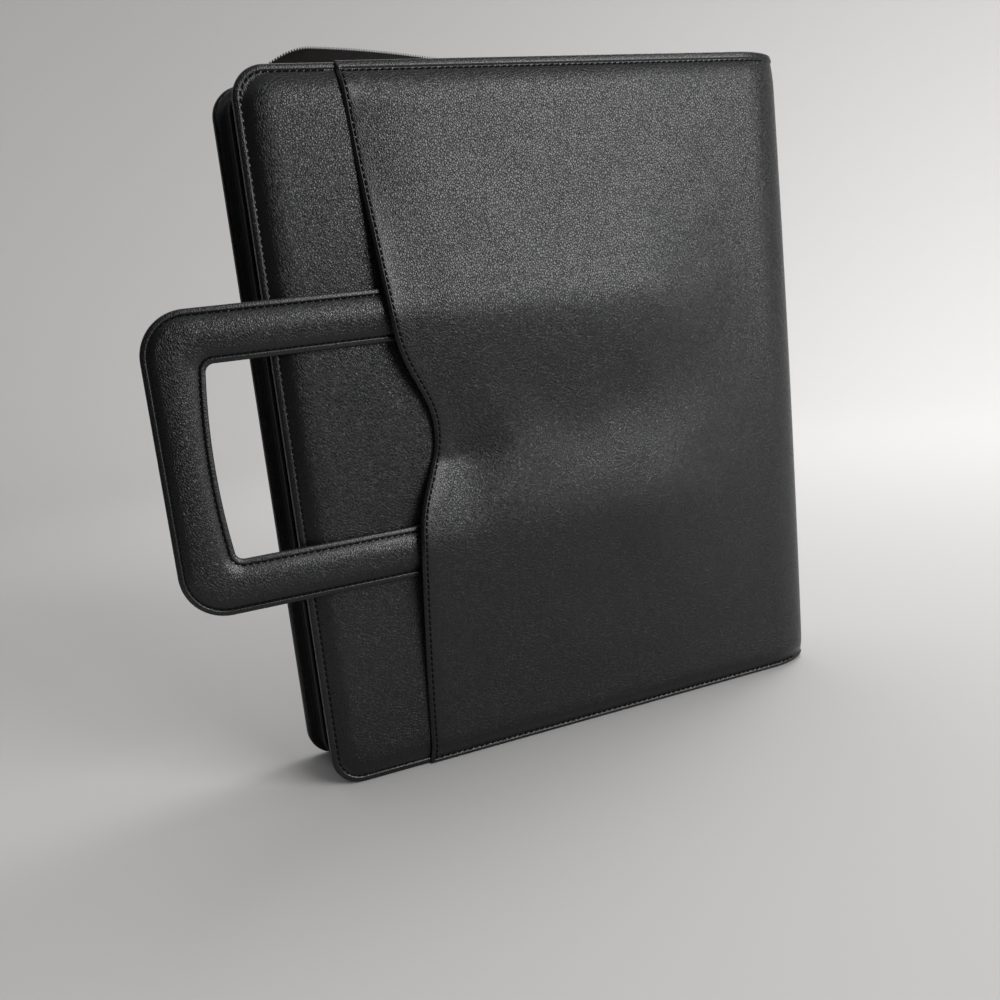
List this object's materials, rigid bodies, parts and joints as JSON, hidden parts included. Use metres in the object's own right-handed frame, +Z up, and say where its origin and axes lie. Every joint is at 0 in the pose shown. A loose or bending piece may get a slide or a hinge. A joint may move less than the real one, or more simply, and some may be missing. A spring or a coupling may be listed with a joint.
{
  "type": "zippered padfolio",
  "caption": "Black leather document case with padded covers, a zip round its edges, a front pocket, a handle that slides out from under the pocket, and a writing pad inside.",
  "frame": {"origin": "on the surface that the case stands on, under the middle of its box", "axes": "+X from the handle to the spine, +Y from the front cover to the back cover, +Z up the long edge that the case stands along"},
  "size_m": [0.34, 0.0604, 0.3453],
  "materials": {
    "black_leather": "fine pebbled grain, semi-gloss black",
    "padding_foam": "soft grey foam sheet",
    "cover_board": "dense grey-brown board",
    "lining_cloth": "matt black woven lining",
    "zip_tape_cloth": "black woven zip tape",
    "zip_coil_plastic": "black nylon coil",
    "zip_metal": "black lacquered metal",
    "handle_core_plastic": "stiff black sheet",
    "rivet_metal": "plain nickel",
    "pad_backing": "grey-brown pulp board",
    "pad_sheets": "white ruled sheets",
    "pad_binding": "black binding tape",
    "elastic": "black woven elastic"
  },
  "bodies": {
    "back_cover": {"back_cover_skin": "black_leather", "back_cover_padding": "padding_foam", "back_cover_board": "cover_board", "back_lining": "lining_cloth", "back_zip_tape": "zip_tape_cloth", "back_zip_coil": "zip_coil_plastic", "back_zip_stops": "zip_metal", "pad_sleeve": "lining_cloth", "pad_backing_board": "pad_backing", "pad_paper_block": "pad_sheets", "pad_binding_strip": "pad_binding", "pen_loop": "elastic", "back_fold": "black_leather"},
    "spine": {"spine_skin": "black_leather", "spine_board": "cover_board", "spine_lining": "lining_cloth", "front_fold": "black_leather"},
    "front_cover": {"front_cover_skin": "black_leather", "front_cover_padding": "padding_foam", "front_cover_board": "cover_board", "front_lining": "lining_cloth", "front_pocket": "black_leather", "handle_guide_straps": "black_leather", "front_zip_tape": "zip_tape_cloth", "front_zip_flare": "zip_tape_cloth", "front_zip_coil": "zip_coil_plastic", "front_zip_stops": "zip_metal", "document_pocket": "lining_cloth", "card_slot_1": "lining_cloth", "card_slot_2": "lining_cloth", "card_slot_3": "lining_cloth"},
    "handle": {"handle_outer_skin": "black_leather", "handle_inner_skin": "black_leather", "handle_core": "handle_core_plastic", "handle_padding": "padding_foam", "handle_stop_bar": "handle_core_plastic", "handle_rivets": "rivet_metal"},
    "zip_slider": {"zip_slider": "zip_metal"},
    "zip_pull": {"zip_pull_tab": "zip_metal"}
  },
  "joints": [
    {"name": "rear_fold", "type": "hinge", "parent": "back_cover", "child": "spine", "pos_m": [0.16828, 0.02493, 0.1675], "axis": [0, 0, 1], "range_deg": [0, 90], "deforming": ["back_fold"]},
    {"name": "front_fold", "type": "hinge", "parent": "spine", "child": "front_cover", "pos_m": [0.16828, -0.01763, 0.1675], "axis": [0, 0, 1], "range_deg": [0, 90], "deforming": ["front_fold"]},
    {"name": "handle_slide", "type": "slide", "parent": "front_cover", "child": "handle", "axis": [1, 0, 0], "range_m": [0, 0.058]},
    {"name": "zip_run", "type": "slide", "parent": "back_cover", "child": "zip_slider", "axis": [-1, 0, 0], "range_m": [0, 0.055]},
    {"name": "pull_swing", "type": "hinge", "parent": "zip_slider", "child": "zip_pull", "pos_m": [0.145, 0.00365, 0.33405], "axis": [0, 1, 0], "range_deg": [0, 150]}
  ],
  "couplings": [
    {"joint": "front_fold", "follows": "rear_fold", "ratio": 1}
  ]
}
